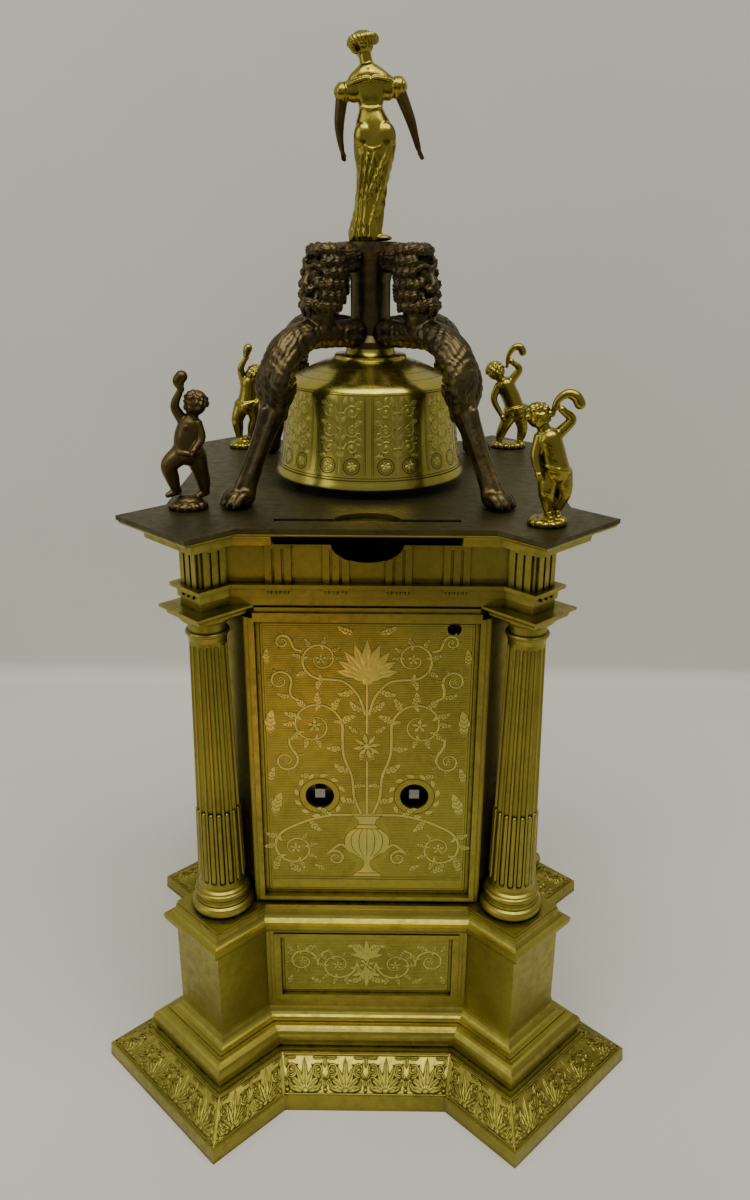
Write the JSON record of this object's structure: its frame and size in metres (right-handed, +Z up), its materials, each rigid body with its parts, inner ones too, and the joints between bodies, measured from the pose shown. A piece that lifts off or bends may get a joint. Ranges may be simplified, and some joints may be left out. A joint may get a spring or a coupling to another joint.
{
  "type": "tabernacle clock",
  "caption": "Square gilt table clock with corner columns, stepped base and entablature, bell on beast brackets with figures, and a working going and striking train.",
  "frame": {"origin": "centre of the base where it stands on the table", "axes": "+Z up, +Y out of the dial, -Y out of the engraved back with the winding holes, +X to the right seen from the back"},
  "size_m": [0.19, 0.19, 0.3424],
  "materials": {
    "case_gilt": "worn gilding over cast brass, satin",
    "panel_gilt": "engraved and brushed gilt brass",
    "top_brass": "darkened gilt brass",
    "bell_brass": "engraved bell metal, polished",
    "bracket_bronze": "dark brown cast bronze",
    "figure_gilt": "cast and gilded",
    "figure_dark": "cast, gilding worn to brown",
    "movement_brass": "filed and polished brass",
    "steel": "filed steel",
    "iron": "forged iron",
    "blued_steel": "blued steel",
    "silvered": "silvered brass, satin"
  },
  "bodies": {
    "case": {"base_plinth": "case_gilt", "floor_plate": "iron", "tie_rods": "iron", "pedestal_frame": "case_gilt", "pedestal_panel_back": "panel_gilt", "pedestal_panel_right": "panel_gilt", "pedestal_panel_front": "panel_gilt", "pedestal_panel_left": "panel_gilt", "pedestal_cap": "case_gilt", "body_frame": "case_gilt", "back_panel": "panel_gilt", "hinge_pins": "case_gilt", "architrave": "case_gilt", "frieze": "case_gilt", "cornice": "case_gilt", "top_plate": "top_brass", "column_front_right": "case_gilt", "column_front_left": "case_gilt", "column_back_left": "case_gilt", "column_back_right": "case_gilt", "bell": "bell_brass", "bell_bolt": "iron", "bracket_hub": "bracket_bronze", "beast_bracket_front_right": "bracket_bronze", "beast_bracket_front_left": "bracket_bronze", "beast_bracket_back_left": "bracket_bronze", "beast_bracket_back_right": "bracket_bronze", "statue": "figure_gilt", "putto_front_right": "figure_gilt", "putto_front_left": "figure_gilt", "putto_back_left": "figure_dark", "putto_back_right": "figure_gilt", "movement_platform": "movement_brass", "movement_back_plate": "movement_brass", "movement_front_plate": "movement_brass", "balance_cock": "movement_brass", "escapement_potence": "movement_brass", "small_screws": "steel", "dial_plate": "panel_gilt", "chapter_ring": "silvered"},
    "door_right": {"door_right": "panel_gilt"},
    "door_left": {"door_left": "panel_gilt"},
    "door_latch_right": {"door_latch_right": "steel"},
    "door_latch_left": {"door_latch_left": "steel"},
    "going_barrel": {"going_barrel": "movement_brass"},
    "hour_hand": {"hour_wheel": "movement_brass", "hour_hand": "blued_steel"},
    "going_second_wheel": {"going_second_wheel": "movement_brass"},
    "crown_wheel": {"crown_wheel": "movement_brass"},
    "balance": {"verge_balance": "steel"},
    "going_winding_arbor": {"going_winding_arbor": "steel"},
    "going_click": {"going_click": "steel"},
    "striking_barrel": {"striking_barrel": "movement_brass"},
    "pin_wheel": {"pin_wheel": "movement_brass"},
    "fly": {"fly": "steel"},
    "count_wheel": {"count_wheel": "movement_brass"},
    "count_detent": {"count_detent": "steel"},
    "striking_winding_arbor": {"striking_winding_arbor": "steel"},
    "striking_click": {"striking_click": "steel"},
    "hammer": {"hammer": "iron"}
  },
  "joints": [
    {"name": "going_barrel_turn", "type": "hinge", "parent": "case", "child": "going_barrel", "pos_m": [0.0157, -0.012, 0.1113], "axis": [0, 1, 0], "continuous": true},
    {"name": "hour_hand_turn", "type": "hinge", "parent": "case", "child": "hour_hand", "pos_m": [0, 0.018, 0.12945], "axis": [0, 1, 0], "continuous": true},
    {"name": "going_second_turn", "type": "hinge", "parent": "case", "child": "going_second_wheel", "pos_m": [0.01802, -0.01, 0.13016], "axis": [0, 1, 0], "continuous": true},
    {"name": "crown_wheel_turn", "type": "hinge", "parent": "case", "child": "crown_wheel", "pos_m": [0.00502, 0.004, 0.14262], "axis": [0, 1, 0], "continuous": true},
    {"name": "balance_swing", "type": "hinge", "parent": "case", "child": "balance", "pos_m": [0.00502, -0.008, 0.1788], "axis": [0, 0, 1], "range_deg": [-50, 50]},
    {"name": "going_wind_turn", "type": "hinge", "parent": "case", "child": "going_winding_arbor", "pos_m": [0.0157, -0.015, 0.1113], "axis": [0, 1, 0], "range_deg": [0, 1800]},
    {"name": "going_click_lift", "type": "hinge", "parent": "case", "child": "going_click", "pos_m": [0.0273, -0.0375, 0.1153], "axis": [0, -1, 0], "range_deg": [0, 12], "stiffness_Nm_per_rad": 0.002},
    {"name": "striking_barrel_turn", "type": "hinge", "parent": "case", "child": "striking_barrel", "pos_m": [-0.0157, -0.008, 0.1113], "axis": [0, 1, 0], "continuous": true},
    {"name": "pin_wheel_turn", "type": "hinge", "parent": "case", "child": "pin_wheel", "pos_m": [-0.01802, -0.01, 0.13016], "axis": [0, 1, 0], "continuous": true},
    {"name": "fly_turn", "type": "hinge", "parent": "case", "child": "fly", "pos_m": [-0.01302, -0.01, 0.14745], "axis": [0, 1, 0], "continuous": true},
    {"name": "count_wheel_turn", "type": "hinge", "parent": "case", "child": "count_wheel", "pos_m": [-0.00801, -0.0375, 0.09284], "axis": [0, 1, 0], "continuous": true},
    {"name": "count_detent_lift", "type": "hinge", "parent": "case", "child": "count_detent", "pos_m": [-0.0285, -0.0375, 0.084], "axis": [0, -1, 0], "range_deg": [0, 8], "stiffness_Nm_per_rad": 0.002},
    {"name": "striking_wind_turn", "type": "hinge", "parent": "case", "child": "striking_winding_arbor", "pos_m": [-0.0157, -0.015, 0.1113], "axis": [0, -1, 0], "range_deg": [0, 1800]},
    {"name": "striking_click_lift", "type": "hinge", "parent": "case", "child": "striking_click", "pos_m": [-0.0273, -0.0405, 0.1153], "axis": [0, 1, 0], "range_deg": [0, 12], "stiffness_Nm_per_rad": 0.002},
    {"name": "hammer_swing", "type": "hinge", "parent": "case", "child": "hammer", "pos_m": [-0.024, -0.01, 0.16], "axis": [0, 1, 0], "range_deg": [0, 10], "stiffness_Nm_per_rad": 0.05},
    {"name": "door_right_swing", "type": "hinge", "parent": "case", "child": "door_right", "pos_m": [0.0514, -0.0368, 0.1235], "axis": [0, 0, -1], "range_deg": [0, 90]},
    {"name": "door_left_swing", "type": "hinge", "parent": "case", "child": "door_left", "pos_m": [-0.0514, -0.0368, 0.1235], "axis": [0, 0, 1], "range_deg": [0, 90]},
    {"name": "door_latch_right_turn", "type": "hinge", "parent": "door_right", "child": "door_latch_right", "pos_m": [0.047, 0.0295, 0.1235], "axis": [-1, 0, 0], "range_deg": [0, 90]},
    {"name": "door_latch_left_turn", "type": "hinge", "parent": "door_left", "child": "door_latch_left", "pos_m": [-0.047, 0.0295, 0.1235], "axis": [-1, 0, 0], "range_deg": [0, 90]}
  ],
  "couplings": [
    {"joint": "hour_hand_turn", "follows": "going_barrel_turn", "ratio": -0.25},
    {"joint": "going_second_turn", "follows": "going_barrel_turn", "ratio": -5.3333},
    {"joint": "crown_wheel_turn", "follows": "going_barrel_turn", "ratio": 26.667},
    {"joint": "pin_wheel_turn", "follows": "striking_barrel_turn", "ratio": -5.3333},
    {"joint": "fly_turn", "follows": "striking_barrel_turn", "ratio": 26.667},
    {"joint": "count_wheel_turn", "follows": "striking_barrel_turn", "ratio": -0.25}
  ]
}
